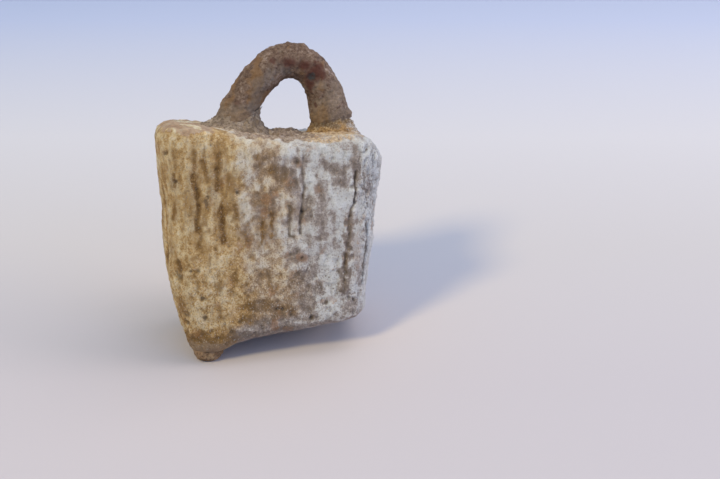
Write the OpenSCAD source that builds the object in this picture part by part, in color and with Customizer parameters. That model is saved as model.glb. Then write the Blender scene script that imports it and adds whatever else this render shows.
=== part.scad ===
// Scale weight: a cast lead block that hung on a balance arm by a forged iron loop, as it was dug up.
// The block leans back: it rests on its rear lower edge and on a lump under its front left corner.
// The block is drawn upright, with X across, Y from front to back and Z up, and then leaned and centred.

/* [Block] */
// Width across the top, where the block is widest
block_top_w = 38.4; // [36:0.2:44]
// Width across the bottom
block_bottom_w = 32.6; // [30:0.2:36]
// How far the middle of the top lies to the right of the middle of the bottom
top_shift = 1.2; // [0:0.1:3]
// Thickness from front to back at the top
block_top_t = 23.5; // [20:0.5:28]
// Thickness from front to back at the bottom
block_bottom_t = 22; // [18:0.5:26]
// Height of the left end
left_h = 38.6; // [35:0.2:44]
// Height of the right end
right_h = 35.4; // [32:0.2:40]
// How far the top dips between its ends
saddle_dip = 0.5; // [0:0.1:2]
// Distance of the dip's deepest point from the middle of the top
dip_x = 2; // [0:0.5:5]
// How far the left side swells out
left_swell = 1.1; // [0:0.1:2]
// Share of the height at which the left side swells most
swell_at = 0.35; // [0.25:0.05:0.6]
// How much higher the right end of the front lower edge lies than its left end
bottom_rise = 2.6; // [0:0.1:3.5]

/* [Edges] */
// Radius of the four upright corners
corner_r = 5.5; // [4:0.5:8]
// Radius of the edge round the top
top_edge_r = 2.6; // [1.5:0.1:3.5]
// Radius of the edge round the bottom
bottom_edge_r = 1.8; // [1.4:0.1:3]
// How far the worn right shoulder drops
shoulder_drop = 3.2; // [0:0.2:4]
// How far in from the right side the worn shoulder starts
shoulder_w = 6.5; // [4:0.5:10]

/* [Stance] */
// Angle by which the block leans back
lean = 11; // [8:0.5:14]
// Depth worn flat where the weight stands
worn = 0.3; // [0.2:0.05:0.5]

/* [Corner lump] */
// Width of the lump of rusty earth under the front left corner
lump_w = 10.8; // [9:0.2:12]
// Distance from the left side to the tip of the lump
lump_inset = 3.8; // [3.6:0.1:5]
// Distance from the front to the tip of the lump
lump_setback = 4.4; // [3.8:0.1:6]
// How far the lead itself reaches down above the lump
lug_h = 1.2; // [0.6:0.1:1.6]
// How far the lump's seat stays inside the rim of the lug
seat_margin = 0.5; // [0.5:0.1:1.2]

/* [Loop] */
// Diameter of the iron bar
bar_d = 6.1; // [5:0.1:6.8]
// Distance between the middles of the loop's feet
loop_span = 18.7; // [17:0.1:21]
// Height of the bar's middle at the crown, above the feet
loop_rise = 12.1; // [10:0.1:15]
// How far the loop stands to the right of the middle of the top
loop_shift = 2.8; // [0:0.1:3]
// How much the rust swells the right leg, on its radius
leg_swell = 0.6; // [0:0.05:0.8]
// Length of each leg that is buried in the lead
leg_depth = 9; // [6:0.5:11]
// Gap between a leg and the lead round it
socket_gap = 0.05; // [0.03:0.01:0.1]

/* [Crusts] */
// Greatest width of the crust round the left foot
left_crust_w = 3.3; // [2:0.1:4]
// Greatest height of the crust round the left foot
left_crust_h = 3.6; // [2:0.1:4.4]
// Greatest width of the rust round the right foot
right_crust_w = 2.4; // [1.6:0.1:3]
// Greatest height of the rust round the right foot
right_crust_h = 2; // [1:0.1:2.6]
// Height of the earth between the feet
saddle_crust_h = 0.9; // [0.6:0.1:1.8]
// Depth from front to back of the earth between the feet
saddle_crust_t = 9; // [6:0.5:12]
// Thickness of that earth at its thin rim
saddle_rim_h = 0.15; // [0.1:0.05:0.3]
// Gap between a crust and what it sits on
crust_gap = 0.08; // [0.05:0.01:0.15]

/* [Relief] */
// Height of the slow waves in the sides
wave_h = 0.25; // [0:0.05:0.5]
// Share of the grooves' full depth
groove_share = 1; // [0:0.1:1.2]

/* [Hidden] */

FRONT_STEPS = 30; // points along the front and along the back
SIDE_STEPS = 12; // points along each end
CORNER_STEPS = 6; // points round each upright corner
CAP_RINGS = 5; // rings from the middle of the top or bottom to its edge
EDGE_RINGS = 3; // rings round the top or bottom edge
WALL_RINGS = 22; // rings up the sides
BAR_SIDES = 20; // points round the bar
BAR_STEPS = 6; // rings between two points of the loop's shape
SOCKET_SIDES = 64; // sides of the round sockets
CRUST_STEPS = 28; // points round a crust
DOME_RINGS = 6; // rings from the middle of a crust or lump to its edge
FAR = 200; // larger than the whole weight

SLOPE_SHARE = 0.625; // share of the width over which the top falls from its left to its right height
RISE_POWER = 1.3; // how late the front lower edge rises on its way to the right
SQUARENESS = 5; // how sharply the outward direction turns at an upright corner
GROOVE_FADE = 3; // length over which a groove runs out at each end
SOCKET_REACH = 8; // how far the sockets' cutters reach above the feet
LEFT_RUN = [-0.16, 0.4]; // places of the bar's rings along the straight left leg, as shares of its diameter
RIGHT_RUN = [0.56, 0.36, 0.16, -0.16]; // the same along the right leg, on the way down
SWELL_FROM = 0.16; // height above the right foot where the leg swells, as a share of the diameter
SWELL_TO = 1.5; // height where the swelling has gone, as such a share
SWELL_FADE = 1; // length over which it goes, as such a share

// The loop's middle line, as shares of half the span and of the rise
LOOP_SHAPE = [
    [-1, 0], [-0.64, 0.47], [-0.2, 0.87], [0.18, 1], [0.56, 0.93], [0.78, 0.72], [0.93, 0.36], [1, 0]
];

// The four sides, each with its outward direction
FRONT = [0, -1];
RIGHT = [1, 0];
BACK = [0, 1];
LEFT = [-1, 0];

// Upright grooves: side, place from its middle, lower end, upper end, half width, depth, slant
GROOVES = [
    [FRONT, -16.6, 11, 20, 0.9, 0.45, -0.02],
    [FRONT, -13.4, 16, 34.5, 1.1, 0.5, 0.02],
    [FRONT, -9.2, 17, 35, 1.2, 0.55, -0.02],
    [FRONT, -3.6, 17, 27, 1, 0.35, 0],
    [FRONT, 1.6, 17, 25, 0.8, 0.35, 0],
    [FRONT, 3.9, 17, 33, 0.8, 0.5, 0.05],
    [FRONT, 11.3, 7, 30, 0.9, 0.7, 0.1],
    [RIGHT, -4.6, 10, 28, 1, 0.5, 0.03],
    [RIGHT, 0.4, 15, 32, 1.1, 0.5, -0.02],
    [RIGHT, 5.6, 8, 27, 1.2, 0.5, 0.02],
    [BACK, -12.6, 12, 32, 1.2, 0.55, -0.03],
    [BACK, -8.2, 19, 35, 1, 0.45, 0.02],
    [BACK, -3.4, 8, 27, 1.2, 0.55, 0.04],
    [BACK, 1.4, 17, 34, 1, 0.5, -0.03],
    [BACK, 6.4, 9, 29, 1.2, 0.55, 0.02],
    [BACK, 11.6, 14, 31, 1.1, 0.5, -0.04],
    [LEFT, -6.2, 14, 31, 1, 0.5, 0.02],
    [LEFT, -1.6, 19, 35, 1.2, 0.55, -0.02],
    [LEFT, 2.9, 8, 25, 1, 0.5, 0.04],
    [LEFT, 6.9, 17, 33, 1, 0.45, 0]
];

// Slow waves in the sides: degrees for each millimetre along X, Y and Z
WAVES = [[9, 0, 17], [23, 14, -11], [0, 31, 7]];

// A foot crust's section, which flares out to its foot: shares of its height and of its width
CRUST_SECTION = [[0, 0], [0, 0.5], [0, 1], [0.15, 0.87], [0.35, 0.6], [0.62, 0.3], [1, 0]];

// How high and how wide a foot crust is to the right, back, left and front, as shares of its greatest
LEFT_HEIGHTS = [1, 0.55, 0.6, 0.55];
LEFT_WIDTHS = [1, 0.55, 0.6, 0.65];
RIGHT_HEIGHTS = [1, 0.65, 0.5, 0.55];
RIGHT_WIDTHS = [1, 0.75, 0.9, 1];

// How a foot crust's width and height waver on the way round: times round, share, and turn for each seed
WIDTH_WAVER = [[3, 0.08, 70], [7, 0.06, 0]];
HEIGHT_WAVER = [[4, 0.08, 40], [7, 0.06, 0]];
SADDLE_WAVER = 0.08; // share by which the rim of the earth between the feet wavers

function mix(a, b, t) = a + (b - a) * t;
function clamp(t) = max(0, min(1, t));
function smooth(t) = let (c = clamp(t)) c * c * (3 - 2 * c);
function bell(d, w) = exp(-d * d / (w * w));
function unit(v) = v / norm(v);
function sum(list) = [for (v = list) 1] * list;
function lows(points, axis) = min([for (p = points) p[axis]]);
function highs(points, axis) = max([for (p = points) p[axis]]);

// Half width, half thickness and middle of the block at a share of its height
function half_w(f) = mix(block_bottom_w, block_top_w, f) / 2;
function half_t(f) = mix(block_bottom_t, block_top_t, f) / 2;
function middle(f) = mix(-top_shift, 0, f);

// The top: higher at the left, dipping between, and dropping at the worn right shoulder
function top_z(x) =
    mix(left_h, right_h, smooth(clamp(x / block_top_w + 0.5) / SLOPE_SHARE))
    - saddle_dip * bell(x - dip_x, block_top_w / 4)
    - shoulder_drop * pow(clamp((x - block_top_w / 2 + shoulder_w) / shoulder_w), 2);

// The tip of the lump, and how far it has to reach to stand level with the rear edge
lump_x = middle(0) - block_bottom_w / 2 + lump_inset;
lump_y = -block_bottom_t / 2 + lump_setback;
lump_spread = lump_w / 3;
edge_y = block_bottom_t / 2 - bottom_edge_r;
stance_z = -edge_y * sin(lean) - bottom_edge_r * (1 - cos(lean));
lump_reach = -(stance_z + lump_y * sin(lean)) / cos(lean);
function lump_depth(x, y) = lump_reach * bell(norm([x - lump_x, y - lump_y]), lump_spread);

// The bottom: its front rises to the right, and its front left corner is drawn down into a lug above the lump
function bottom_z(x, y) =
    bottom_rise * pow(clamp((x - middle(0)) / block_bottom_w + 0.5), RISE_POWER)
    * smooth(0.5 - y / block_bottom_t)
    - min(lug_h, lump_depth(x, y));

// A quarter round of a ring's corner: its centre, and the angle that it starts from
function quarter(centre, r, start) =
    [for (i = [0:CORNER_STEPS - 1]) let (t = start + 90 * i / CORNER_STEPS) centre + r * [cos(t), sin(t)]];

// A straight side of a ring, without its last point
function straight(from, to, steps) = [for (i = [0:steps - 1]) mix(from, to, i / steps)];

// A rounded rectangle as a ring of points, from the front left corner and round by the right
function plan(a, b, r) = concat(
    straight([r - a, -b], [a - r, -b], FRONT_STEPS), quarter([a - r, r - b], r, -90),
    straight([a, r - b], [a, b - r], SIDE_STEPS), quarter([a - r, b - r], r, 0),
    straight([a - r, b], [r - a, b], FRONT_STEPS), quarter([r - a, b - r], r, 90),
    straight([-a, b - r], [-a, r - b], SIDE_STEPS), quarter([r - a, r - b], r, 180)
);

// How far a point of the side stands out: slow waves, the swollen left side and the grooves
function wave(p) = wave_h / 2 * sum([for (w = WAVES) sin(w * p)]);
function swell(f) = left_swell * sin(180 * pow(f, ln(0.5) / ln(swell_at)));
function groove(p, z, out) = groove_share * max([for (g = GROOVES)
    let (along = g[0][0] == 0 ? p[0] : p[1])
    g[5] * bell(along - g[1] - g[6] * (z - g[2]), g[4]) * max(0, out * g[0])
    * smooth((z - g[2]) / GROOVE_FADE) * smooth((g[3] - z) / GROOVE_FADE)]);
function side_point(p, f, z) =
    let (
        ux = pow(abs(p[0]) / half_w(f), SQUARENESS) * sign(p[0]),
        uy = pow(abs(p[1]) / half_t(f), SQUARENESS) * sign(p[1]),
        out = [ux, uy] / max(0.01, norm([ux, uy])),
        lift = wave([p[0], p[1], z]) + swell(f) * max(0, out * LEFT) - groove(p, z, out)
    )
    [p[0] + middle(f) + lift * out[0], p[1] + lift * out[1]];

// One level of the block: share of its height, lift from there, inset from the side, and scale
function level(f, lift, inset, s) =
    let (ring = plan(half_w(f) - inset, half_t(f) - inset, corner_r - inset))
    [for (p = ring)
        let (
            q = s == 1 ? side_point(p, f, left_h * f + lift) : [p[0] * s + middle(f), p[1] * s],
            low = bottom_z(q[0], q[1]) + bottom_edge_r,
            high = top_z(q[0]) - top_edge_r
        )
        [q[0], q[1], mix(low, high, f) + lift]];

body_rings = concat(
    [for (i = [1:CAP_RINGS - 1]) level(0, -bottom_edge_r, bottom_edge_r, i / CAP_RINGS)],
    [for (i = [0:EDGE_RINGS - 1]) let (t = 90 * i / EDGE_RINGS)
        level(0, -bottom_edge_r * cos(t), bottom_edge_r * (1 - sin(t)), 1)],
    [for (i = [0:WALL_RINGS]) level(i / WALL_RINGS, 0, 0, 1)],
    [for (i = [1:EDGE_RINGS]) let (t = 90 * i / EDGE_RINGS)
        level(1, top_edge_r * sin(t), top_edge_r * (1 - cos(t)), 1)],
    [for (i = [CAP_RINGS - 1:-1:1]) level(1, top_edge_r, top_edge_r, i / CAP_RINGS)]
);

// A closed solid through rings of equal length, from the lowest to the highest, with a point at each end
module skin(rings, low, high) {
    n = len(rings[0]);
    last = len(rings) - 1;
    points = concat([low], [for (r = rings, p = r) p], [high]);
    faces = concat(
        [for (k = [0:n - 1]) [0, 1 + k, 1 + (k + 1) % n]],
        [for (r = [0:last - 1], k = [0:n - 1]) let (a = 1 + r * n, b = a + n, m = (k + 1) % n)
            each [[a + k, b + k, b + m], [a + k, b + m, a + m]]],
        [for (k = [0:n - 1]) let (a = 1 + last * n) [len(points) - 1, a + (k + 1) % n, a + k]]
    );
    polyhedron(points = points, faces = faces);
}

// A closed band: sections of equal length that follow each other round
module band(sections) {
    n = len(sections[0]);
    m = len(sections);
    points = [for (s = sections, p = s) p];
    faces = [for (i = [0:m - 1], k = [0:n - 1])
        let (a = i * n, b = ((i + 1) % m) * n, j = (k + 1) % n)
        each [[a + k, b + j, b + k], [a + k, a + j, b + j]]];
    polyhedron(points = points, faces = faces);
}

// Leans the upright shape back and puts the origin under the middle of the whole weight
leaned = [for (r = body_rings, p = r) [p[0], p[1] * cos(lean) + p[2] * sin(lean)]];
mid_x = (lows(leaned, 0) + highs(leaned, 0)) / 2;
mid_y = (lows(leaned, 1) + highs(leaned, 1)) / 2;
module stand() {
    difference() {
        translate([-mid_x, -mid_y, -stance_z - worn]) rotate([-lean, 0, 0]) children();
        translate([-FAR / 2, -FAR / 2, -FAR]) cube(FAR);
    }
}

// The loop's middle line: straight legs below the feet, and a smooth curve above
function loop_x(share) = loop_shift + share * loop_span / 2;
function loop_point(p) = [
    loop_x(p[0]),
    mix(top_z(loop_x(-1)), top_z(loop_x(1)), (p[0] + 1) / 2) + p[1] * loop_rise
];
LAST = len(LOOP_SHAPE) - 1;
left_foot = loop_point(LOOP_SHAPE[0]);
right_foot = loop_point(LOOP_SHAPE[LAST]);
left_way = unit(loop_point(LOOP_SHAPE[1]) - left_foot);
right_way = unit(loop_point(LOOP_SHAPE[LAST - 1]) - right_foot);
function curve(a, b, c, d, t) =
    b + (c - a) * t / 2 + (2 * a - 5 * b + 4 * c - d) * t * t / 2 + (3 * b - a - 3 * c + d) * t * t * t / 2;
arch = [for (i = [1:LAST - 2], k = [0:BAR_STEPS - 1])
    let (p = [for (j = [-1:2]) loop_point(LOOP_SHAPE[i + j])])
    curve(p[0], p[1], p[2], p[3], k / BAR_STEPS)];
bar_line = concat(
    [for (d = concat(-leg_depth, LEFT_RUN * bar_d)) left_foot + left_way * d],
    arch,
    [for (d = concat(RIGHT_RUN * bar_d, -leg_depth)) right_foot + right_way * d]
);
left_leg_r = bar_d / 2;
right_leg_r = bar_d / 2 + leg_swell;
function bar_r(p) =
    let (up = (p[1] - right_foot[1]) / bar_d)
    bar_d / 2 + leg_swell * smooth((p[0] - loop_shift) / (loop_span / 3))
    * smooth((up - SWELL_FROM) / SWELL_FROM) * smooth((SWELL_TO - up) / SWELL_FADE);
function bar_ring(i) =
    let (
        p = bar_line[i],
        way = unit(bar_line[min(len(bar_line) - 1, i + 1)] - bar_line[max(0, i - 1)]),
        side = [-way[1], way[0]]
    )
    [for (k = [0:BAR_SIDES - 1])
        let (t = 360 * k / BAR_SIDES, q = p + side * bar_r(p) * cos(t))
        [q[0], -bar_r(p) * sin(t), q[1]]];

// The socket that holds one leg in the lead
module socket(foot, way) {
    translate([foot[0], 0, foot[1]])
        rotate([0, atan2(way[0], way[1]), 0])
        translate([0, 0, -leg_depth - socket_gap])
        cylinder(r = bar_d / 2 + socket_gap, h = leg_depth + socket_gap + SOCKET_REACH, $fn = SOCKET_SIDES);
}

module lead_body() {
    color("#b3a68c")
        stand()
        difference() {
            skin(
                body_rings,
                [middle(0), 0, bottom_z(middle(0), 0)],
                [middle(1), 0, top_z(middle(1))]
            );
            socket(left_foot, left_way);
            socket(right_foot, right_way);
        }
}

module iron_loop() {
    rings = [for (i = [0:len(bar_line) - 1]) bar_ring(i)];
    low = bar_line[0];
    high = bar_line[len(bar_line) - 1];
    color("#7a5a41")
        stand()
        skin(rings, [low[0], 0, low[1]], [high[0], 0, high[1]]);
}

// How wide and how high each foot crust is to the right, back, left and front
left_widths = left_crust_w * LEFT_WIDTHS;
left_heights = left_crust_h * LEFT_HEIGHTS;
right_widths = right_crust_w * RIGHT_WIDTHS;
right_heights = right_crust_h * RIGHT_HEIGHTS;

// A ring of crust that sits on the top round one leg
function waver(waves, t, seed) = 1 + sum([for (w = waves) w[1] * sin(w[0] * t + w[2] * seed)]);
function widest(w) = w * (1 + sum([for (v = WIDTH_WAVER) v[1]]));
function toward(v, t) =
    v[cos(t) > 0 ? 0 : 2] * pow(cos(t), 2) + v[sin(t) > 0 ? 1 : 3] * pow(sin(t), 2);
module foot_crust(foot, way, leg_r, widths, heights, seed) {
    r = leg_r + crust_gap;
    function at(t, rise, out) =
        let (
            x = foot[0] + (rise + top_z(foot[0]) - foot[1]) * way[0] / way[1] + (r / way[1] + out) * cos(t),
            y = (r + out) * sin(t)
        )
        [x, y, top_z(x) + crust_gap + rise];
    stand()
        band([for (k = [0:CRUST_STEPS - 1])
            let (
                t = 360 * k / CRUST_STEPS,
                wide = toward(widths, t) * waver(WIDTH_WAVER, t, seed),
                high = toward(heights, t) * waver(HEIGHT_WAVER, t, seed)
            )
            [for (s = CRUST_SECTION) at(t, s[0] * high, s[1] * wide)]]);
}

module left_foot_crust() {
    color("#6f6353")
        foot_crust(left_foot, left_way, left_leg_r, left_widths, left_heights, 0);
}

module right_foot_crust() {
    color("#b07a3c")
        foot_crust(right_foot, right_way, right_leg_r, right_widths, right_heights, 1);
}

// A mound of earth on the top, from one foot crust to the other
module saddle_crust() {
    left_x = left_foot[0] + (left_leg_r + crust_gap) / left_way[1] + widest(left_widths[0]) + crust_gap;
    right_x = right_foot[0] - (right_leg_r + crust_gap) / right_way[1] - widest(right_widths[2]) - crust_gap;
    x = (left_x + right_x) / 2;
    a = (right_x - left_x) / 2;
    b = saddle_crust_t / 2;
    function at(s, t, over) =
        let (px = x + a * s * cos(t), py = b * s * sin(t) * (1 + SADDLE_WAVER * sin(3 * t)))
        [px, py, top_z(px) + crust_gap + over];
    function ring(s, over) = [for (k = [0:CRUST_STEPS - 1]) at(s, 360 * k / CRUST_STEPS, over)];
    function dome(s) = saddle_rim_h + saddle_crust_h * (1 - s * s);
    color("#5f4a38")
        stand()
        skin(
            concat(
                [for (i = [1:DOME_RINGS]) ring(i / DOME_RINGS, 0)],
                [for (i = [DOME_RINGS:-1:1]) ring(i / DOME_RINGS, dome(i / DOME_RINGS))]
            ),
            at(0, 0, 0), at(0, 0, dome(0))
        );
}

// The lump hangs under the lug, from a seat on the lead down to the floor
module corner_lump() {
    seat_r = lump_spread * sqrt(ln(lump_reach / lug_h)) - seat_margin;
    function low(x, y) = [x, y, -lump_depth(x, y)];
    function high(x, y) = [x, y, bottom_z(x, y) - crust_gap];
    function ring(s, seat) = [for (k = [0:CRUST_STEPS - 1])
        let (
            t = 360 * k / CRUST_STEPS,
            x = lump_x + seat_r * s * cos(t),
            y = lump_y + seat_r * s * sin(t)
        )
        seat ? high(x, y) : low(x, y)];
    color("#6b4a36")
        stand()
        skin(
            concat(
                [for (i = [1:DOME_RINGS]) ring(i / DOME_RINGS, false)],
                [for (i = [DOME_RINGS:-1:1]) ring(i / DOME_RINGS, true)]
            ),
            low(lump_x, lump_y), high(lump_x, lump_y)
        );
}

lead_body();
iron_loop();
left_foot_crust();
right_foot_crust();
saddle_crust();
corner_lump();
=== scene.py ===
# Scale weight: a chalky lead block with a rusted iron loop, dressed for the studio
import math

import bpy
import numpy as np
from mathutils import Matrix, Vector


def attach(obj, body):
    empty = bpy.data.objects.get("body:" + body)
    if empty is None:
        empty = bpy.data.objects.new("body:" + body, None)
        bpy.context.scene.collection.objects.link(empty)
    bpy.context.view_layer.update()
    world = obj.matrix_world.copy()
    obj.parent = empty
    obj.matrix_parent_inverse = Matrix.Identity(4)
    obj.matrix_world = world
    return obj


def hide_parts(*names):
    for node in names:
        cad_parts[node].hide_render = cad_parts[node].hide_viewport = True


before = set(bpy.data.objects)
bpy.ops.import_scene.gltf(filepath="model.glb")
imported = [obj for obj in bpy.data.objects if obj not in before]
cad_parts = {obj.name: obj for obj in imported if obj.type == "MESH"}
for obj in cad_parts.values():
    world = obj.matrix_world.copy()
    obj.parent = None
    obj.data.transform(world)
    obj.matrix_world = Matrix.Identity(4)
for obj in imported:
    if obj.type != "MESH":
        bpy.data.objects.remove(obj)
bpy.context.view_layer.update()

# All shaping is done in millimetres, in the upright block's own coordinates:
# X across, Y from front to back, Z up from the foot
MM = 0.001
LEAN = math.radians(11)
BLOCK_FOOT = np.array([0.04, -3.94, 1.49])
TURN = np.array([
    [1, 0, 0],
    [0, math.cos(LEAN), -math.sin(LEAN)],
    [0, math.sin(LEAN), math.cos(LEAN)],
])
LEAD_MESH, IRON_MESH = ((0.272, 0.175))
# How strongly the mask of hollows shows a millimetre of relief, as painted shade in hollows and
# painted light on heights
HOLLOW_SHADE_SHARE = 2.2


def upright(points):
    """From the frame's coordinates to the upright block's"""
    return (points - BLOCK_FOOT) @ TURN.T


def leaned(points):
    """From the upright block's coordinates to the frame's"""
    return points @ TURN + BLOCK_FOOT


# Numbers that vary smoothly


def smooth(low, high, value):
    """0 below low and 1 above high, or the other way round"""
    share = np.clip((value - low) / (high - low), 0, 1)
    return share * share * (3 - 2 * share)


def scatter(cell, seed):
    """An even random number from 0 to 1 for each cell of a lattice"""
    mixed = (cell[:, 0] * 73856093) ^ (cell[:, 1] * 19349663) ^ (cell[:, 2] * 83492791)
    mixed = mixed ^ (seed * 2654435761)
    mixed = (mixed ^ (mixed >> 13)) * 1274126177 & 0xFFFFFFFF
    mixed = (mixed ^ (mixed >> 15)) * 2246822519 & 0xFFFFFFFF
    return ((mixed ^ (mixed >> 16)) & 0xFFFFF) / 0xFFFFF


def random_steps(cell, seed):
    """Three even random numbers for each cell"""
    return np.stack([scatter(cell, seed + k) for k in (1, 2, 3)], 1)


def rough(points, size, seed):
    """Smooth noise from about -1 to 1, with lumps of that size"""
    spots = points / np.asarray(size, float)
    cell = np.floor(spots).astype(np.int64)
    inside = spots - cell
    fade = inside ** 3 * (inside * (inside * 6 - 15) + 10)
    total = np.zeros(len(points))
    for corner in np.ndindex(2, 2, 2):
        corner = np.array(corner)
        weight = np.prod(np.where(corner == 1, fade, 1 - fade), axis=1)
        slope = random_steps(cell + corner, seed) * 2 - 1
        total += weight * np.sum(slope * (inside - corner), 1)
    return total * 2.2


def clouds(points, size, octaves, seed):
    """Noise with finer noise on it"""
    size = np.asarray(size, float)
    parts = [rough(points, size / 2 ** k, seed + 10 * k) / 2 ** k for k in range(octaves)]
    return sum(parts) / 1.4


def granules(points, size, seed):
    """Distance to the nearest of scattered points, as a share of their spacing"""
    spots = points / np.asarray(size, float)
    cell = np.floor(spots).astype(np.int64)
    nearest = np.full(len(points), np.inf)
    for corner in np.ndindex(3, 3, 3):
        other = cell + np.array(corner) - 1
        seat = other + random_steps(other, seed)
        nearest = np.minimum(nearest, np.sum((spots - seat) ** 2, 1))
    return np.sqrt(nearest)


def line_distance(across, up, path):
    """Distance of each point from a line drawn through path on a face"""
    nearest = np.full(len(across), np.inf)
    for (x0, z0), (x1, z1) in zip(path, path[1:]):
        dx, dz = x1 - x0, z1 - z0
        share = np.clip(((across - x0) * dx + (up - z0) * dz) / (dx * dx + dz * dz), 0, 1)
        nearest = np.minimum(nearest, np.hypot(across - x0 - share * dx, up - z0 - share * dz))
    return nearest


# Meshes


def put(name, data):
    made = bpy.data.objects.new(name, data)
    bpy.context.scene.collection.objects.link(made)
    return made


def read(items, field, wide, kind=np.float32):
    """One field of a mesh's items, as a row of numbers for each"""
    values = np.zeros(len(items) * wide, kind)
    items.foreach_get(field, values)
    return values.reshape(-1, wide)


def write(items, field, values):
    """Sets one field of a mesh's items"""
    items.foreach_set(field, values.astype(np.float32).ravel())


def normals(piece, points):
    """Outward directions at points that the piece's mesh is set to, in millimetres"""
    write(piece.data.vertices, "co", points)
    piece.data.update()
    return read(piece.data.vertex_normals, "vector", 3).astype(float)


def relaxed(points, edges, times, share=0.6):
    """Each point moved towards the middle of its neighbours"""
    count = np.bincount(edges.ravel(), minlength=len(points))
    for _ in range(times):
        total = np.stack([
            np.bincount(edges[:, 0], points[edges[:, 1], k], len(points))
            + np.bincount(edges[:, 1], points[edges[:, 0], k], len(points))
            for k in range(points.shape[1])
        ], 1)
        points = points + share * (total / count[:, None] - points)
    return points


def shaped(node, spacing, relax):
    """An even fine mesh round a CAD node: its object, and its points, edges and normals upright"""
    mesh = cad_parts[node].data.copy()
    mesh.materials.clear()
    write(mesh.vertices, "co", read(mesh.vertices, "co", 3) / MM)
    piece = put(node + "_dressed", mesh)
    remesh = piece.modifiers.new("even", "REMESH")
    remesh.mode = "VOXEL"
    remesh.voxel_size = spacing
    depsgraph = bpy.context.evaluated_depsgraph_get()
    fine = bpy.data.meshes.new_from_object(piece.evaluated_get(depsgraph))
    piece.modifiers.clear()
    piece.data = fine
    edges = read(fine.edges, "vertices", 2, np.int32)
    points = relaxed(upright(read(fine.vertices, "co", 3).astype(float)), edges, relax)
    return piece, points, edges, normals(piece, points)


def woven(name, rings, loop):
    """A closed mesh through rings of points in upright millimetres: a tube that ends where it
    starts, or a body with a point at each end. Its object, points, edges and normals"""
    count, around = rings.shape[:2]
    grid = np.arange(count * around).reshape(count, around)
    low, high = (grid, np.roll(grid, -1, 0)) if loop else (grid[:-1], grid[1:])
    sides = [low, np.roll(low, -1, 1), np.roll(high, -1, 1), high]
    faces = np.stack(sides, -1).reshape(-1, 4).tolist()
    points = rings.reshape(-1, 3)
    if not loop:
        first, last = len(points), len(points) + 1
        points = np.vstack([points, rings[0].mean(0), rings[-1].mean(0)])
        faces += [[first, grid[0, (k + 1) % around], grid[0, k]] for k in range(around)]
        faces += [[last, grid[-1, k], grid[-1, (k + 1) % around]] for k in range(around)]
    mesh = bpy.data.meshes.new(name)
    mesh.from_pydata(points.tolist(), [], faces)
    piece = put(name, mesh)
    return piece, points, read(mesh.edges, "vertices", 2, np.int32), normals(piece, points)


def settle(shape, relief, hold, times, masks):
    """Moves a shape's points out by its relief, as far as hold lets each, puts them back into
    the frame in metres, and writes the masks. One more mask tells hollows from heights, for
    the painted shade in the hollows and painted light on the heights"""
    piece, points, edges, out = shape
    # The mask of hollows is for painted shade in hollows and painted light on heights
    hollow_shade = relief - relaxed(relief[:, None], edges, times)[:, 0]
    spots = leaned(points + out * (relief * hold)[:, None])
    spots[:, 2] = np.maximum(spots[:, 2], 0)
    write(piece.data.vertices, "co", spots * MM)
    piece.data.polygons.foreach_set("use_smooth", np.ones(len(piece.data.polygons), bool))
    for name, values in {**masks, "hollow_shade": 0.5 + hollow_shade * HOLLOW_SHADE_SHARE}.items():
        layer = piece.data.attributes.new(name, "FLOAT", "POINT")
        write(layer.data, "value", np.clip(values, 0, 1))
    piece.data.update()
    return piece


# The lead block

# The block's top: width, heights of its ends, dip and worn right shoulder
TOP_WIDTH, TOP_LEFT, TOP_RIGHT, TOP_DIP, DIP_X, DIP_WIDTH = 38.4, 38.6, 35.4, 0.5, 2, 9.6
SHOULDER_DROP, SHOULDER_WIDTH = 3.2, 6.5


def top_height(x):
    fall = smooth(0, 0.625, x / TOP_WIDTH + 0.5)
    worn = np.clip((x - TOP_WIDTH / 2 + SHOULDER_WIDTH) / SHOULDER_WIDTH, 0, 1) ** 2
    dip = TOP_DIP * np.exp(-((x - DIP_X) / DIP_WIDTH) ** 2)
    return TOP_LEFT + (TOP_RIGHT - TOP_LEFT) * fall - dip - SHOULDER_DROP * worn


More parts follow.
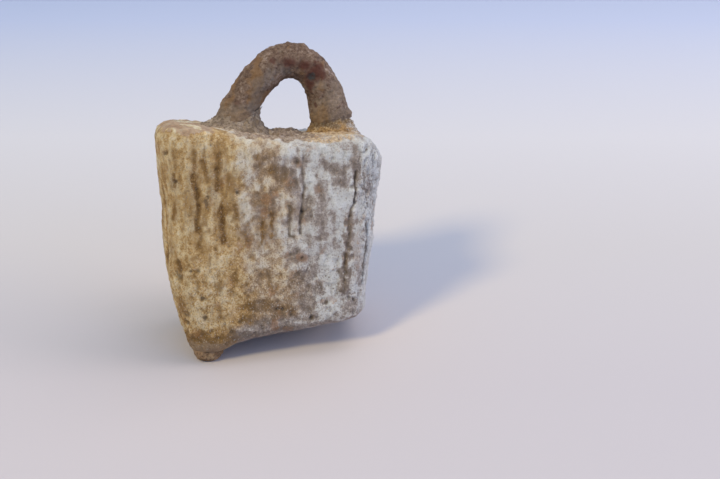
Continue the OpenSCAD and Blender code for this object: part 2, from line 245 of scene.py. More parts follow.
# Soft brown stains that run down the front face: path of (x, z), half width and share
STAINS = [
    ([(-13.4, 34.4), (-13.5, 33.0), (-13.8, 31.6), (-13.7, 30.1)], 0.32, 0.6),
    ([(-13.9, 29.9), (-14.0, 28.8), (-13.9, 27.6), (-13.7, 26.6)], 0.58, 0.85),
    ([(-13.5, 26.6), (-13.5, 25.1)], 0.24, 0.55),
    ([(-13.7, 24.9), (-13.8, 23.7), (-14.0, 22.4), (-13.8, 21.0)], 0.55, 0.8),
    ([(-13.6, 21.2), (-13.6, 20.0), (-14.0, 18.8), (-13.7, 18.0)], 0.39, 0.6),
    ([(-11.9, 34.9), (-12.0, 32.9)], 0.24, 0.45),
    ([(-12.2, 32.3), (-11.9, 30.9), (-11.7, 29.3)], 0.34, 0.6),
    ([(-9.7, 33.6), (-9.6, 32.4), (-9.9, 31.0)], 0.62, 0.75),
    ([(-10.1, 30.8), (-10.0, 29.1), (-10.3, 27.7)], 0.49, 0.7),
    ([(-9.9, 24.6), (-10.0, 23.2), (-9.9, 21.7), (-9.9, 20.2), (-9.7, 18.6)], 0.51, 0.85),
    ([(-9.1, 24.5), (-9.2, 23.3)], 0.4, 0.6), ([(-8.3, 29.8), (-8.3, 27.8)], 0.43, 0.45),
    ([(-7.6, 24.6), (-7.5, 23.4), (-7.1, 21.8)], 0.33, 0.5),
    ([(-17.1, 30.7), (-17.2, 28.7)], 0.35, 0.7), ([(-17.1, 34.4), (-16.8, 33.4)], 0.25, 0.5),
    ([(-18.9, 31.5), (-18.9, 29.7)], 0.21, 0.6), ([(-16.7, 32.9), (-16.7, 31.1)], 0.24, 0.4),
    ([(-17.3, 25.6), (-17.5, 23.9), (-17.9, 23.1)], 0.29, 0.6),
    ([(-15.4, 28.1), (-15.8, 26.1), (-15.6, 23.6)], 0.19, 0.35),
    ([(-18.4, 18.6), (-18.8, 16.7)], 0.19, 0.7), ([(-17.7, 16.0), (-17.5, 14.4)], 0.29, 0.6),
    ([(-11.4, 7.6), (-11.5, 5.5)], 0.27, 0.45),
    ([(-17.9, 9.2), (-17.4, 8.3), (-17.8, 6.9)], 0.56, 0.5),
    ([(-6.6, 20.0), (-6.0, 18.6)], 0.42, 0.5), ([(-12.2, 16.6), (-12.6, 15.4)], 0.23, 0.4),
    ([(-1.5, 22.7), (-1.6, 20.6), (-1.9, 18.7)], 0.22, 0.7),
    ([(-3.2, 21.4), (-3.4, 18.7), (-4.0, 17.4)], 0.25, 0.7),
]

# Where the crust is thin on the front face and shows brown lead: x, z, half sizes, share
BARE = [
    (-2.5, 32.6, 1.5, 0.7, 1), (-1.9, 30.7, 2.2, 0.7, 0.8), (0.5, 29.5, 2.4, 1.1, 1),
    (2.1, 27.8, 1.2, 1.0, 0.9), (-3.0, 24.7, 1.5, 1.9, 1), (-4.4, 24.6, 0.6, 1.0, 1),
    (-1.0, 26.2, 0.5, 0.7, 0.9), (-3.9, 21.5, 0.6, 1.2, 0.8), (-1.8, 17.2, 0.9, 0.9, 0.5),
    (4.4, 30.9, 0.5, 1.2, 0.9), (4.2, 28.7, 0.4, 1.4, 0.8), (3.4, 31.1, 0.5, 0.5, 0.9),
    (5.4, 31.5, 0.4, 0.4, 0.7), (10.0, 29.6, 1.7, 0.9, 1), (8.3, 30.6, 0.4, 0.5, 0.8),
    (10.2, 27.3, 2.1, 0.6, 1), (7.9, 26.9, 0.7, 0.7, 0.9), (7.0, 26.4, 0.9, 0.7, 0.8),
    (7.4, 24.1, 0.9, 1.7, 1), (5.4, 24.7, 0.5, 0.7, 0.7), (7.8, 21.2, 1.4, 1.2, 1),
    (6.3, 19.9, 0.9, 0.9, 0.8), (8.8, 19.3, 0.9, 0.5, 0.8), (4.7, 22.3, 0.7, 0.9, 0.8),
    (6.8, 18.1, 1.1, 0.6, 1), (8.1, 16.2, 1.4, 0.9, 0.6), (7.5, 15.4, 0.9, 0.3, 0.9),
    (9.5, 16.2, 0.3, 0.7, 0.8), (13.6, 30.9, 0.8, 2.1, 1.5), (13.6, 27.6, 0.6, 1.2, 1.2),
    (15.5, 26.8, 0.7, 2.3, 1.2), (16.4, 22.7, 0.4, 1.2, 0.7), (14.7, 18.1, 0.4, 1.2, 0.6),
    (14.5, 12.5, 0.3, 1.1, 0.8), (11.8, 5.0, 0.9, 1.1, 1), (2.7, 15.3, 1.7, 1.2, 1),
    (2.3, 11.5, 1.2, 1.1, 1), (5.6, 12.5, 0.9, 0.7, 0.6), (5.2, 9.9, 1.2, 0.6, 0.9),
    (6.0, 8.7, 0.7, 0.6, 0.8), (6.6, 6.3, 0.5, 0.9, 1), (3.7, 7.2, 1.4, 1.8, 0.9),
    (-3.8, 12.8, 1.4, 0.8, 0.9), (-8.5, 12.6, 0.5, 1.0, 0.8), (-5.8, 19.1, 0.6, 1.4, 0.8),
    (-4.2, 7.0, 3.5, 1.0, 1), (-1.0, 5.2, 2.3, 1.2, 1), (-5.5, 4.1, 3.5, 1.1, 1),
    (-10.4, 2.7, 2.0, 1.1, 0.9), (4.3, 3.7, 2.0, 0.4, 0.9), (-0.5, 2.6, 1.6, 0.9, 0.8),
    (9.4, 4.2, 1.4, 0.7, 0.5), (11.5, 19.6, 0.4, 1.3, 0.9), (11.2, 16.6, 0.5, 1.7, 0.9),
    (10.9, 13.2, 0.5, 1.7, 1), (10.6, 10.2, 0.4, 1.5, 0.9), (10.3, 8.4, 0.3, 0.8, 0.7),
    (-8.4, 1.9, 3.2, 0.8, 0.8), (-6.6, 9.7, 0.5, 1.1, 0.6), (-13.1, 2.7, 2.0, 0.9, 0.7),
    (-15.8, 2.5, 1.2, 1.1, 0.7), (-1.8, 9.4, 0.9, 0.7, 0.6), (0.5, 9.5, 0.5, 0.5, 0.6),
    (-2.3, 14.4, 1.0, 0.5, 0.5), (4.4, 11.4, 0.7, 0.9, 0.6),
]

# Thick white flakes on the front face: x, z, half sizes, share
WHITE = [
    (-5.3, 32.1, 1.2, 1.7, 0.8), (-7.0, 33.9, 1.3, 0.8, 0.5), (-5.2, 29.4, 0.8, 0.8, 0.6),
    (-3.7, 27.6, 0.5, 0.8, 1), (-5.6, 23.4, 1.0, 1.5, 0.7), (-8.5, 22.6, 0.7, 1.0, 0.7),
    (-10.6, 26.3, 0.6, 1.0, 0.6), (-11.8, 21.9, 0.8, 1.2, 0.5), (-1.9, 28.3, 0.7, 0.8, 1),
    (-1.6, 31.2, 0.4, 0.4, 0.8), (0.1, 25.6, 1.0, 1.4, 0.6), (2.3, 24.6, 0.7, 1.0, 0.5),
    (2.2, 20.4, 0.5, 1.6, 0.9), (0.1, 22.5, 0.9, 0.7, 0.5), (-0.3, 19.6, 1.0, 0.9, 0.6),
    (5.6, 27.7, 0.8, 1.7, 1), (3.4, 29.6, 0.7, 1.4, 0.9), (1.9, 33.1, 1.2, 1.0, 1),
    (8.0, 28.6, 0.7, 1.0, 0.7), (10.8, 31.5, 2.1, 0.9, 0.9), (7.3, 33.2, 1.4, 1.1, 0.8),
    (10.4, 23.9, 1.6, 1.7, 1), (5.4, 19.3, 0.9, 0.9, 0.7), (10.3, 19.2, 0.8, 2.3, 0.9),
    (8.2, 12.8, 2.1, 2.7, 0.9), (15.2, 32.0, 1.2, 1.7, 0.8), (14.2, 21.5, 1.1, 2.3, 0.7),
    (16.1, 20.6, 0.5, 1.8, 0.8), (12.3, 8.2, 0.7, 1.3, 0.8), (16.2, 30.6, 0.9, 2.1, 0.7),
    (-3.4, 13.8, 0.7, 0.7, 0.9), (-6.6, 12.6, 1.0, 0.5, 0.8), (-7.0, 19.0, 0.5, 1.5, 0.7),
    (-6.1, 16.4, 1.2, 0.9, 0.5), (-1.1, 7.5, 1.2, 1.0, 0.8), (-3.9, 4.8, 1.6, 0.9, 0.8),
    (2.3, 2.6, 0.9, 0.7, 0.7), (-4.0, 2.5, 1.2, 0.4, 0.6), (7.1, 5.7, 2.1, 2.2, 1),
    (3.6, 8.5, 0.6, 0.6, 0.8), (2.4, 13.2, 1.4, 0.5, 0.5), (-5.0, 13.6, 0.5, 0.5, 0.5),
    (-11.6, 38.1, 0.8, 0.5, 0.6), (-15.5, 38.1, 1.0, 0.4, 0.4), (9.3, 35.3, 3.5, 0.5, 0.5),
    (-10.4, 15.2, 0.8, 0.9, 0.35), (-8.5, 9.1, 0.8, 1.1, 0.45), (1.1, 14.1, 0.7, 0.4, 0.4),
    (13.9, 15.9, 0.4, 2.0, 0.3), (12.3, 25.7, 0.4, 1.4, 0.5), (-10.8, 10.4, 0.5, 0.7, 0.4),
    (5.0, 15.8, 0.7, 0.7, 0.5), (8.2, 9.2, 1.2, 1.6, 0.6),
]

# Rusty patches on the front face: x, z, half sizes, share
RED = [
    (-2.3, 25.5, 0.7, 0.7, 0.7), (-2.8, 23.0, 0.7, 0.9, 0.8), (1.8, 28.0, 0.7, 0.7, 0.5),
    (-7.2, 17.7, 0.3, 0.9, 0.7), (-5.8, 18.6, 0.4, 1.0, 0.7), (3.2, 14.9, 0.9, 0.7, 0.8),
    (-2.2, 3.2, 0.6, 0.8, 0.9), (-12.0, 25.6, 0.7, 0.7, 0.5), (-14.1, 28.0, 0.5, 0.8, 0.5),
    (10.9, 13.1, 0.4, 0.9, 0.4), (-2.4, 9.1, 0.5, 0.5, 0.7), (6.7, 26.5, 0.7, 0.5, 0.5),
    (0.0, 2.2, 0.7, 0.5, 0.6), (-6.9, 14.7, 0.5, 1.0, 0.4), (-9.6, 11.5, 0.8, 1.0, 0.4),
    (-8.9, 6.3, 0.8, 1.1, 0.4), (-17.7, 7.6, 0.7, 0.9, 0.5), (13.0, 14.6, 0.7, 3.6, 0.45),
    (-11.8, 8.2, 0.3, 0.5, 0.7), (-15.5, 2.8, 0.8, 0.7, 0.5),
]

# Pits in the front face: x, z, half width, depth
PITS = [
    (-7.1, 26.9, 0.27, 0.35), (-17.9, 13.4, 0.59, 0.5), (-12.3, 25.6, 0.56, 0.12),
    (-16.9, 29.3, 0.26, 0.25), (-17.0, 6.2, 0.46, 0.3), (-17.0, 4.9, 0.43, 0.3),
    (-13.9, 5.8, 0.47, 0.35), (-15.9, 14.2, 0.25, 0.25), (-14.5, 14.3, 0.3, 0.2),
    (-14.1, 9.3, 0.28, 0.2), (3.4, 31.1, 0.31, 0.3), (12.6, 26.3, 0.23, 0.35),
    (13.5, 26.1, 0.21, 0.3), (-1.7, 6.0, 0.23, 0.3), (-0.7, 5.7, 0.21, 0.3), (1.2, 15.5, 0.28, 0.3),
    (3.2, 14.7, 0.24, 0.3), (4.3, 3.7, 0.28, 0.3), (-8.2, 4.4, 0.26, 0.3), (-19.1, 16.3, 0.23, 0.3),
    (11.1, 6.5, 0.25, 0.3), (-11.9, 26.6, 0.2, 0.25), (-10.7, 35.0, 0.23, 0.25),
    (-18.1, 34.0, 0.24, 0.3), (7.0, 6.3, 0.28, 0.25), (-9.7, 2.8, 0.34, 0.2),
    (12.2, 6.1, 0.25, 0.3), (0.7, 4.6, 0.26, 0.3),
]

# Cracks in the front face: path of (x, z), half width, depth, and how dark the earth in it is
CRACKS = [
    ([(4.4, 33.1), (4.5, 31.7)], 0.18, 0.12, 0.5),
    ([(4.5, 31.7), (4.2, 29.7), (4.4, 27.2)], 0.22, 0.12, 0.4),
    ([(4.4, 27.2), (4.0, 24.6), (3.8, 22.7)], 0.2, 0.2, 0.7),
    ([(3.8, 22.7), (3.3, 20.9), (3.2, 19.0)], 0.27, 0.3, 0.85),
    ([(1.6, 23.6), (1.4, 21.0), (1.3, 18.8), (1.9, 18.4)], 0.32, 0.2, 0.8),
    ([(13.4, 28.7), (13.1, 27.4), (13.2, 25.8), (12.8, 23.5)], 0.17, 0.35, 0.95),
    ([(12.8, 23.4), (12.2, 22.4), (12.0, 21.2)], 0.28, 0.25, 0.85),
    ([(11.9, 21.0), (11.5, 19.1), (11.7, 18.0)], 0.2, 0.1, 0.45),
    ([(11.6, 18.0), (11.2, 15.9), (11.0, 14.2)], 0.26, 0.08, 0.5),
    ([(11.1, 14.5), (10.9, 12.8)], 0.27, 0.12, 0.85),
    ([(10.8, 12.1), (10.6, 9.9)], 0.25, 0.12, 0.75), ([(10.6, 9.7), (10.1, 7.7)], 0.3, 0.05, 0.35),
    ([(15.2, 19.4), (15.1, 15.7), (14.5, 12.7), (14.1, 8.6)], 0.13, 0.3, 0.8),
    ([(16.4, 30.5), (16.6, 27.0), (16.3, 23.5)], 0.09, 0.15, 0.5),
    ([(-17.7, 16.0), (-17.5, 14.2)], 0.21, 0.15, 0.5),
    ([(-13.0, 35.0), (-12.7, 36.3)], 0.1, 0.12, 0.4),
    ([(11.1, 33.0), (11.9, 31.6), (12.2, 30.8)], 0.09, 0.1, 0.4),
]

# The wide groove near the right corner, mostly full of crumbly crust: its path of (x, z)
FILLED = [(10.2, 8.5), (11.0, 14.0), (12.0, 20.0), (12.9, 25.5)]

# Grooves down the hidden sides: outward direction, place, lower end, upper end, half width, slant
GROOVES = [
    ((1, 0), -4.6, 10, 28, 1.0, 0.03), ((1, 0), 0.4, 15, 32, 1.1, -0.02),
    ((1, 0), 5.6, 8, 27, 1.2, 0.02), ((0, 1), -12.6, 12, 32, 1.2, -0.03),
    ((0, 1), -8.2, 19, 35, 1.0, 0.02), ((0, 1), -3.4, 8, 27, 1.2, 0.04),
    ((0, 1), 1.4, 17, 34, 1.0, -0.03), ((0, 1), 6.4, 9, 29, 1.2, 0.02),
    ((0, 1), 11.6, 14, 31, 1.1, -0.04), ((-1, 0), -6.2, 14, 31, 1.0, 0.02),
    ((-1, 0), -1.6, 19, 35, 1.2, -0.02), ((-1, 0), 2.9, 8, 25, 1.0, 0.04),
    ((-1, 0), 6.9, 17, 33, 1.0, 0.0),
]
# How far the block's taper carries the foot of a groove in the back to the side
BACK_TAPER = 1.2

# Where the lump of rusty earth hangs under the block
LUMP_PLACE = (-13.6, -6.6)


def patches(across, up, spots):
    """How far inside any of the soft-edged patches each point lies"""
    found = np.zeros(len(across))
    for x, z, wide, high, share in spots:
        away = np.hypot((across - x) / (wide + 0.2), (up - z) / (high + 0.2))
        found = np.maximum(found, share * smooth(1.3, 0.75, away))
    return found


class LeadSkin:
    """Where each point of the lead lies on the block, and the noises that its crust is made of"""

    def __init__(self, points, out):
        self.points, self.out = points, out
        x, self.y, z = points.T
        self.x, self.z = x, z

        # The faces, the upper part of the sides and the narrow facet at the right
        self.front = smooth(0.1, 0.65, -out[:, 1])
        self.top = smooth(0.35, 0.85, out[:, 2])
        self.under = smooth(0.35, 0.85, -out[:, 2])
        self.side = 1 - np.maximum(self.top, self.under)
        self.upper = smooth(10, 20, z) * self.side
        self.facet = smooth(13.2, 15.0, x) * self.side

        # Noises
        self.slow = clouds(points, 8, 2, 11)
        self.middling = clouds(points, 3.0, 3, 21)
        self.streaks = clouds(points, (1.3, 1.3, 8), 3, 31)
        self.fine_streaks = clouds(points, (0.8, 0.8, 3.6), 3, 36)
        self.grainy = clouds(points, 1.1, 2, 41)
        self.flecks = clouds(points, (0.75, 0.75, 1.7), 3, 91)

        # Crumbs, small pits, folds, and where the crust is crumbly
        self.crumbs = 0.5 - granules(points + 0.25 * self.grainy[:, None], (1.15, 1.15, 1.4), 51)
        pits = smooth(0.3, 0.1, granules(points, 1.5, 56))
        self.pitted = pits * smooth(-0.1, 0.5, self.middling)
        veins = clouds(points + 0.2 * self.grainy[:, None], (1.7, 1.7, 2.5), 2, 58)
        self.folds = smooth(0.16, 0.0, np.abs(veins))
        low_side = 0.85 * (1 - self.upper) * self.side
        self.crumbly = np.maximum(low_side, self.facet) + 0.35 * self.upper

        # Everything that is placed from the lists has ragged edges
        self.ragged_x = x + 0.45 * clouds(points, 1.7, 3, 61) + 0.16 * clouds(points, 0.7, 2, 63)
        self.ragged_z = z + 0.45 * clouds(points, 1.7, 3, 66) + 0.16 * clouds(points, 0.7, 2, 68)
        self.from_groove = (line_distance(self.ragged_x, z, FILLED)
                            + 0.7 * self.flecks + 0.45 * self.grainy)


def crust_cover(skin):
    """How thick the pale crust is. Brown lead shows where it is thin"""
    points, x, z, front, middling = skin.points, skin.x, skin.z, skin.front, skin.middling
    ragged_x, ragged_z = skin.ragged_x, skin.ragged_z
    cover = (0.57 + 0.12 * clouds(points, (2.4, 2.4, 3.4), 3, 71)
             + 0.1 * skin.grainy + 0.07 * skin.flecks)
    cover += (skin.upper * (0.08 * skin.streaks + 0.08 * skin.fine_streaks)
              + 0.1 * skin.crumbs * skin.crumbly + 0.14 * skin.facet)
    cover -= 0.32 * smooth(3.8, 1.6, z + 0.8 * middling) * skin.side + 0.12 * skin.under
    flakes, thin = patches(ragged_x, ragged_z, WHITE), patches(ragged_x, ragged_z, BARE)
    cover += front * (0.16 * flakes - 0.18 * thin)

    # Thinner in the wide groove, low on the left half, in the brown band above the front edge,
    # in the middle of the front and between the long stains
    cover -= 0.24 * front * smooth(1.25, 0.4, skin.from_groove) * smooth(22, 20, z)
    cover -= 0.1 * smooth(17, 11, z) * smooth(6.5, 3, x) * smooth(-8, -4, x)
    from_band = np.hypot((ragged_x + 3.6) / 5.2, (ragged_z - 5.6) / 2.4)
    cover -= 0.13 * front * smooth(1.2, 0.6, from_band)
    cover -= (0.115 * front * smooth(18, 21, z) * smooth(34, 31, z)
              * smooth(6, 4, x) * smooth(-5, -3, x))
    cover -= 0.05 * front * smooth(31, 28, z) * smooth(-5, -7, x) * smooth(-12, -9, x)

    # The other sides have patches of their own
    cover += 0.22 * smooth(0.25, 0.7, clouds(points, (2.2, 2.2, 3.2), 3, 81)) * (1 - front)
    cover -= 0.2 * smooth(0.25, 0.7, clouds(points, (2.6, 2.6, 3.6), 3, 84)) * (1 - front)
    return cover


def crust_tints(skin):
    """Where the crust is ochre, mostly on the left half, partly its own tint and partly painted
    warm light from the left, and where it is stained or rusty
    """
    points, x, z, front, middling = skin.points, skin.x, skin.z, skin.front, skin.middling
    # Ochre falls from left to right: partly the crust's own tint, partly painted warm light from
    # the left
    across = x + 1.5 * middling + 5 * skin.slow * (1 - front)
    ochre_and_warm_light = 0.5 * smooth(-5, -10, across) + 0.5 * smooth(8, -2, across) + 0.1 * skin.slow
    ochre_and_warm_light += 0.45 * smooth(0.1, 0.6, clouds(points, 7, 3, 97)) * (1 - front)
    ochre_and_warm_light += 0.1 * smooth(18, 9, z) * smooth(9, 3, x + 2 * middling)
    ochre_and_warm_light -= 0.7 * smooth(5.5, 2.5, z + middling) * smooth(-13, -9, x)

    stain = (smooth(0.2, 0.7, skin.streaks + 0.6 * skin.fine_streaks)
             * skin.upper * smooth(2, -6, x) * 0.4)
    spots = 0.5 * smooth(0.35, 0.8, clouds(points, (1.7, 1.7, 2.4), 3, 86))
    stain = np.maximum(stain, spots * smooth(8, -4, x))
    uneven = 1 + 0.22 * clouds(points, (1.0, 1.0, 2.2), 2, 101)
    for path, half, share in STAINS:
        near = line_distance(x + 0.45 * (skin.ragged_x - x), skin.ragged_z, path)
        core = smooth(1.4, 0.2, near / (half + 0.2) + 0.32 * skin.flecks)
        edge = smooth(2.0, 0.4, near / (half + 0.6) + 0.3 * skin.flecks)
        stain = np.maximum(stain, 1.05 * share * uneven * front * core)
        stain = np.maximum(stain, 0.42 * share * front * edge)

    red = front * patches(skin.ragged_x, skin.ragged_z, RED)
    red = np.maximum(red, 0.6 * smooth(0.45, 0.8, clouds(points, 2.6, 3, 88)) * (1 - skin.top))
    return ochre_and_warm_light, stain, red


def crust_relief(skin, cover, stain):
    """How far the crust stands out in millimetres, and where earth lies in its hollows"""
    relief = (0.15 * skin.slow + 0.09 * skin.middling
              + skin.upper * (0.07 * skin.streaks + 0.06 * skin.fine_streaks))
    crumbling = 0.24 * skin.crumbs + 0.07 * skin.grainy - 0.15 * skin.folds
    relief += skin.crumbly * crumbling - 0.22 * skin.pitted
    relief += 0.34 * (cover - 0.5) - 0.09 * stain
    earth = np.maximum(0.5 * skin.pitted, 0.45 * skin.folds * skin.crumbly)

    filled = skin.front * smooth(1.5, 0.2, line_distance(skin.x, skin.z, FILLED))
    relief += filled * (0.42 + 0.2 * skin.crumbs)
    dark = 0.42 * skin.front * smooth(0.8, 0.2, skin.from_groove) * smooth(22, 20, skin.z)
    return relief, np.maximum(earth, dark)


def cut_front(skin, relief, earth):
    """Cuts the cracks and pits into the front face, and puts earth in them"""
    x, z, front, grainy = skin.x, skin.z, skin.front, skin.grainy
    for path, half, depth, dark in CRACKS:
        near = line_distance(x + 0.4 * (skin.ragged_x - x), z, path) / (half + 0.06)
        cut = front * smooth(1.6, 0.2, near + 0.5 * grainy + 0.35 * skin.flecks)
        relief = relief - depth * cut
        earth = np.maximum(earth, dark * cut)
    for pit_x, pit_z, half, depth in PITS:
        near = np.hypot(x - pit_x, z - pit_z) / (half + 0.1)
        cut = front * smooth(1.6, 0.3, near + 0.5 * grainy)
        relief = relief - depth * cut
        earth = np.maximum(earth, 0.85 * cut)
    return relief, earth


def cut_hidden_sides(skin, relief, earth, cover):
    """Cuts grooves into the sides that the front view doesn't show"""
    x, z, out = skin.x, skin.z, skin.out
    for way, place, low, high, half, slant in GROOVES:
        along = skin.y if way[0] else x + BACK_TAPER * (1 - z / TOP_LEFT)
        near = np.abs(along + 1.2 * (skin.ragged_x - x) - place - slant * (z - low)) / half
        near += smooth(low + 2, low - 1, z) + smooth(high - 2, high + 1, z)
        facing = smooth(0.5, 0.8, out[:, 0] * way[0] + out[:, 1] * way[1])
        cut = facing * smooth(1.1, 0.2, near + 0.4 * skin.middling)
        relief = relief - 0.16 * cut
        cover = cover - 0.18 * cut
        earth = np.maximum(earth, 0.55 * cut * smooth(0.9, 0.2, near + 0.4 * skin.grainy))
    return relief, earth, cover


def top_tints(skin):
    """Where the top has earth and rust round the feet of the loop, and white and pink crust"""
    x, y, middling = skin.x, skin.y, skin.middling
    below = top_height(x) - skin.z
    spill = smooth(0.7, 0.1, below + 0.45 * middling + 0.3 * skin.grainy)
    from_saddle = np.hypot((x - 0.4) * 0.95, (y + 2.5) * 0.8) + 1.2 * middling
    soil = spill * smooth(10.5, 7.5, from_saddle)
    from_foot = np.hypot(x - 11.6, (y + 3.4) * 0.68) + 1.8 * middling
    rust = smooth(6.0, 3.2, from_foot) * smooth(1.1, 0.4, below + 0.5 * middling)
    rim = 0.7 * smooth(0.9, 0.2, np.abs(below - 0.55 + 0.5 * middling))
    rust = np.maximum(rust, rim * smooth(4, 6, x) * smooth(14.5, 12.5, x) * smooth(-6, -8, y))
    near_top = smooth(1.6, 0.6, below + 0.9 * middling)
    white = smooth(0.12, 0.42, clouds(skin.points, 2.3, 3, 95)) * near_top
    pink = smooth(-7, -11, x + 2 * middling) * near_top * (1 - white)
    return soil, rust, white, pink


def dress_lead():
    shape = shaped("lead_body", LEAD_MESH, 10)
    points, out = shape[1], shape[3]
    skin = LeadSkin(points, out)
    cover = crust_cover(skin)
    ochre_and_warm_light, stain, red = crust_tints(skin)
    relief, earth = crust_relief(skin, cover, stain)
    relief, earth = cut_front(skin, relief, earth)
    relief, earth, cover = cut_hidden_sides(skin, relief, earth, cover)

    soil, rust, white, pink = top_tints(skin)
    cover += 0.22 * white - 0.1 * pink * smooth(0.0, -0.4, skin.grainy)
    relief += ((0.34 * skin.crumbs + 0.16 * skin.grainy) * soil
               + (0.2 * skin.crumbs + 0.1 * skin.grainy) * skin.top)

    # The front left corner turns into the lump of rusty earth under it
    from_lump = np.hypot(skin.x - LUMP_PLACE[0], skin.y - LUMP_PLACE[1])
    lump = (smooth(6.5, 3.2, np.hypot(from_lump, 1.2 * skin.z) + 1.2 * skin.middling)
            * smooth(2.4, 0.2, skin.z + 0.8 * skin.middling))

    # Nothing moves where the block stands
    hold = smooth(0.0, 1.3, leaned(points)[:, 2])
    return settle(shape, relief, hold, 16, {
        "cover": cover, "earth": earth, "rust": rust, "soil": soil, "pink": pink, "lump": lump,
        "ochre_and_warm_light": ochre_and_warm_light, "stain": stain, "red": red, "crumbly": skin.crumbly,
    })


# The iron loop

# Red and dark spots on the loop, seen from the front: x, z, half sizes, share
RED_IRON = [
    (4.2, 47.7, 1.3, 1.0, 0.75), (7.3, 46.8, 1.0, 1.0, 0.9), (8.7, 45.6, 1.4, 1.3, 1.0),
    (10.2, 45.1, 0.8, 0.9, 0.7), (8.0, 43.8, 0.7, 1.3, 0.8), (-5.0, 41.2, 0.9, 0.6, 0.4),
    (-1.4, 48.3, 0.9, 0.7, 0.3),
]
# Where painted grey shade lies on the left leg, from the crown down its inner side: path of (x, z)
GREY_SHADE_PATH = [(3.4, 46.6), (1.2, 46.0), (-1.4, 43.4), (-2.4, 40.4)]
# Knobs that stand out: x, z, radius, height
KNOBS = [
    (7.6, 50.6, 1.0, 0.4), (5.0, 51.2, 0.6, 0.2), (15.4, 38.0, 1.0, 0.38),
    (-7.4, 41.8, 1.4, 0.3), (-0.6, 38.6, 1.2, 0.3),
]
# A dark spot in the red patch, where the rust has flaked off: x, z, radius
BARE_METAL = (8.4, 45.1, 0.75)


def dress_loop():
    shape = shaped("iron_loop", IRON_MESH, 8)
    points, out = shape[1], shape[3]
    x, z = points[:, 0], points[:, 2]
    facing = smooth(0.3, -0.4, out[:, 1])
    slow = clouds(points, 4.5, 2, 111)
    middling = clouds(points, 1.9, 3, 121)
    grainy = clouds(points, 0.85, 2, 131)
    grains = 0.5 - granules(points + 0.2 * grainy[:, None], 0.8, 141)
    relief = 0.17 * slow + 0.1 * middling + 0.08 * grainy + 0.23 * grains
    for knob_x, knob_z, radius, height in KNOBS:
        away = np.hypot(x - knob_x, z - knob_z) / radius
        relief += height * smooth(1.2, 0.2, away + 0.3 * middling)

    red = np.zeros(len(x))
    for spot_x, spot_z, wide, high, share in RED_IRON:
        away = np.hypot((x - spot_x) / wide, (z - spot_z) / high)
        red = np.maximum(red, share * facing * smooth(1.7, 0.2, away + 0.5 * middling))
    red = np.maximum(red, 0.6 * smooth(0.5, 0.8, clouds(points, 2.6, 3, 151)))
    metal_x, metal_z, radius = BARE_METAL
    away = np.hypot(x - metal_x, z - metal_z) / radius
    metal = facing * smooth(1.2, 0.6, away + 0.45 * middling)
    relief -= 0.15 * metal

    # Painted grey shade down the inner side of the left leg
    grey_shade = facing * smooth(2.3, 0.3, line_distance(x, z, GREY_SHADE_PATH) + 0.8 * middling)
    left_leg = 0.7 * smooth(3, -3, x + 0.3 * z - 13)
    orange = smooth(-0.2, 0.7, clouds(points, 3.0, 3, 161) + left_leg - 0.3)
    right_leg = smooth(6, 11, x) * smooth(47, 43, z)
    soil = smooth(-0.1, 0.5, clouds(points, 2.4, 3, 171) + right_leg - 0.35)
    above_feet = z - 2.2 * smooth(4, -2, x) + 0.8 * middling
    soil = np.maximum(soil, smooth(40.2, 38.2, above_feet) * 0.9)
    from_streak = np.abs(x - 9.6 + 0.8 * middling)
    stain = smooth(2.6, 0.2, from_streak) * smooth(43, 37.5, z + grainy) * facing

    # Nothing moves inside the lead
    return settle(shape, relief, smooth(34.0, 35.5, z), 16, {
        "red": red, "metal": metal, "orange": orange, "soil": soil, "stain": stain, "grey_shade": grey_shade,
    })


# The deposits

# How deep the hidden rims of a deposit lie in the iron and in the lead
SUNK = 0.5
# Where the block's right upper edge starts to round off
EDGE_STARTS = 17.5
# How uneven the heights and widths of a deposit are, and the rows of points that show
UNEVEN, ROWS = 0.22, 34


def round_turn(count, radius):
    """Directions all round, and points on a circle to take noise at, so that it joins up"""
    turn = np.linspace(0, 2 * math.pi, count, endpoint=False)
    return turn, np.stack([np.cos(turn), np.sin(turn), 0 * turn], 1) * radius


def each_way(values, turn):
    """A value for each direction, from those to the right, back, left and front"""
    right, back, left, front = values
    across = np.where(np.cos(turn) > 0, right, left) * np.cos(turn) ** 2
    return across + np.where(np.sin(turn) > 0, back, front) * np.sin(turn) ** 2


def collar(name, foot_x, lean_in, leg_r, heights, widths, seed):
    """A crust that flares down from a leg to the block's top: its shape, and where it is bare"""
    turn, ring = round_turn(230, 2.5)
    high = each_way(heights, turn) * (1 + UNEVEN * clouds(ring, 1.6, 2, seed))
    wide = each_way(widths, turn) * (1 + UNEVEN * clouds(ring, 1.9, 2, seed + 5))
    climb = np.linspace(0, 1, ROWS)
    outer = [((wide + SUNK) * (1 - q) ** 2.1 - SUNK, (high + SUNK) * q - SUNK) for q in climb]
    inner = [(0 * wide - SUNK, (high + SUNK) * q - SUNK) for q in np.linspace(0.86, 0, 7)]
    under = [(wide * q - SUNK * (1 - q), 0 * high - SUNK) for q in np.linspace(0.1, 0.9, 9)]
    section = np.array(outer + inner + under)
    reach, rise = section[:, 0].T, section[:, 1].T
    stretch = math.sqrt(1 + lean_in ** 2)
    x = foot_x + lean_in * rise + (leg_r * stretch + reach) * np.cos(turn)[:, None]
    y = (leg_r + reach) * np.sin(turn)[:, None]
    bare = np.zeros(section.shape[0])
    bare[:ROWS] = smooth(0.02, 0.15, climb) * smooth(1.0, 0.85, climb)
    over_edge = 0.6 * np.clip(x - EDGE_STARTS, 0, 9) ** 2
    rings = np.stack([x, y, top_height(x) + rise - over_edge], -1)
    return woven(name, rings, True), np.tile(bare, len(turn))


